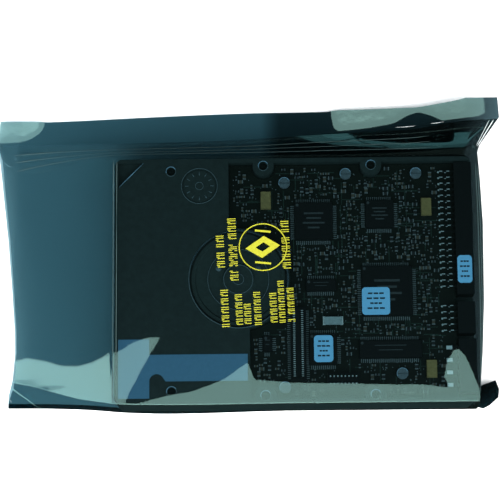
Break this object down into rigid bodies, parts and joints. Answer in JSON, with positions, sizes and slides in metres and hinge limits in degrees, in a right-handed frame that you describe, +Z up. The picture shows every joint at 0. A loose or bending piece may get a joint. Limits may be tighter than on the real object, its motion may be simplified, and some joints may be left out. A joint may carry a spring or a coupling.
{
  "type": "anti static shielding bag",
  "caption": "Metallised see-through shielding bag with heat-sealed sides, lying flat with a disk drive in it, circuit board upwards.",
  "frame": {"origin": "on the surface that the bag lies on, under the centre of the disk drive", "axes": "+X along the bag from its open mouth to its end fold, +Y across it towards the side seal that shows, +Z up"},
  "size_m": [0.2068, 0.1326, 0.0298],
  "materials": {
    "shield_film": "vacuum-metallised polyester film, glossy, smoky teal and see-through",
    "black_casting": "die-cast aluminium with black electrocoat, satin",
    "bare_aluminium": "stamped, satin",
    "steel": "turned and zinc plated",
    "board_laminate": "dark green solder mask over glass laminate",
    "moulded_black": "moulded, matt",
    "tantalum": "moulded ochre resin",
    "ceramic": "pale, unglazed",
    "sticker_paper": "coated white label stock, blank",
    "sticker_foil": "silvered label stock, blank"
  },
  "bodies": {
    "root": {"shielding_bag": "shield_film", "drive_base": "black_casting", "drive_cover": "bare_aluminium", "spindle_motor": "steel", "circuit_board": "board_laminate", "board_screw_1": "steel", "board_screw_2": "steel", "board_screw_3": "steel", "board_screw_4": "steel", "board_screw_5": "steel", "controller_chip": "moulded_black", "servo_chip": "moulded_black", "channel_chip": "moulded_black", "driver_chip": "moulded_black", "memory_chip": "moulded_black", "logic_chip": "moulded_black", "preamp_chip": "moulded_black", "tantalum_capacitor_1": "tantalum", "tantalum_capacitor_2": "tantalum", "tantalum_capacitor_3": "tantalum", "resonator": "ceramic", "head_socket": "moulded_black", "test_header": "moulded_black", "interface_connector": "moulded_black", "jumper_block": "moulded_black", "power_connector": "moulded_black", "controller_sticker": "sticker_paper", "driver_sticker": "sticker_paper", "connector_sticker": "sticker_paper", "casting_sticker": "sticker_foil"}
  },
  "joints": []
}
